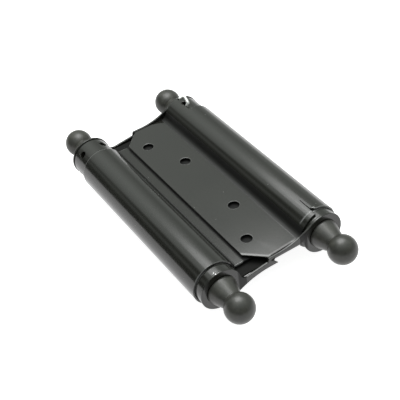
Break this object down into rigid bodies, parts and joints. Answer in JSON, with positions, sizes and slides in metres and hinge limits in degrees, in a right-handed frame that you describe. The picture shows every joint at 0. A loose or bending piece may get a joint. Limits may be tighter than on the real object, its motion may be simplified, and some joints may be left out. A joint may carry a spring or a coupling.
{
  "type": "double action spring hinge",
  "caption": "Double action spring hinge for a cafe door: twin rolled barrels with leaves either side of a folded web, sprung collars and ball finials.",
  "frame": {"origin": "midway between the two barrel axes, at mid length", "axes": "+X from the left barrel to the right barrel, +Y along the barrels towards the tommy-bar holes, +Z out of the upper leaf"},
  "size_m": [0.0802, 0.1694, 0.0298],
  "materials": {
    "black_sheet": "gloss black enamel",
    "black_turned": "satin black",
    "bare_steel": "bright turned steel",
    "spring_steel": "oiled spring steel",
    "zinc_plate": "white zinc plate"
  },
  "bodies": {
    "web": {"web_frame": "black_sheet", "right_spindle": "bare_steel", "right_torsion_spring": "spring_steel", "right_plain_collar": "black_sheet", "right_collar_cross_pin": "bare_steel", "right_thrust_washer": "bare_steel", "right_far_ball_finial": "black_turned", "right_near_ball_finial": "black_turned", "left_spindle": "bare_steel", "left_torsion_spring": "spring_steel", "left_plain_collar": "black_sheet", "left_collar_cross_pin": "bare_steel", "left_thrust_washer": "bare_steel", "left_far_ball_finial": "black_turned", "left_near_ball_finial": "black_turned"},
    "right_leaf": {"right_leaf_barrel": "black_sheet"},
    "right_winder": {"right_tension_collar": "black_sheet", "right_stop_pin": "zinc_plate"},
    "left_leaf": {"left_leaf_barrel": "black_sheet"},
    "left_winder": {"left_tension_collar": "black_sheet", "left_stop_pin": "zinc_plate"}
  },
  "joints": [
    {"name": "right_leaf_swing", "type": "hinge", "parent": "web", "child": "right_leaf", "pos_m": [0.0286, 0, 0], "axis": [0, 1, 0], "range_deg": [0, 110], "stiffness_Nm_per_rad": 0.5, "springref_deg": -68.75, "deforming": ["right_torsion_spring"]},
    {"name": "right_tension_adjust", "type": "hinge", "parent": "right_leaf", "child": "right_winder", "pos_m": [0.0286, 0, 0], "axis": [0, 1, 0], "range_deg": [0, 140], "stiffness_Nm_per_rad": 0.05, "springref_deg": -171.89, "deforming": ["right_torsion_spring"]},
    {"name": "left_leaf_swing", "type": "hinge", "parent": "web", "child": "left_leaf", "pos_m": [-0.0286, 0, 0], "axis": [0, 1, 0], "range_deg": [0, 110], "stiffness_Nm_per_rad": 0.5, "springref_deg": -68.75, "deforming": ["left_torsion_spring"]},
    {"name": "left_tension_adjust", "type": "hinge", "parent": "left_leaf", "child": "left_winder", "pos_m": [-0.0286, 0, 0], "axis": [0, 1, 0], "range_deg": [0, 140], "stiffness_Nm_per_rad": 0.05, "springref_deg": -171.89, "deforming": ["left_torsion_spring"]}
  ]
}
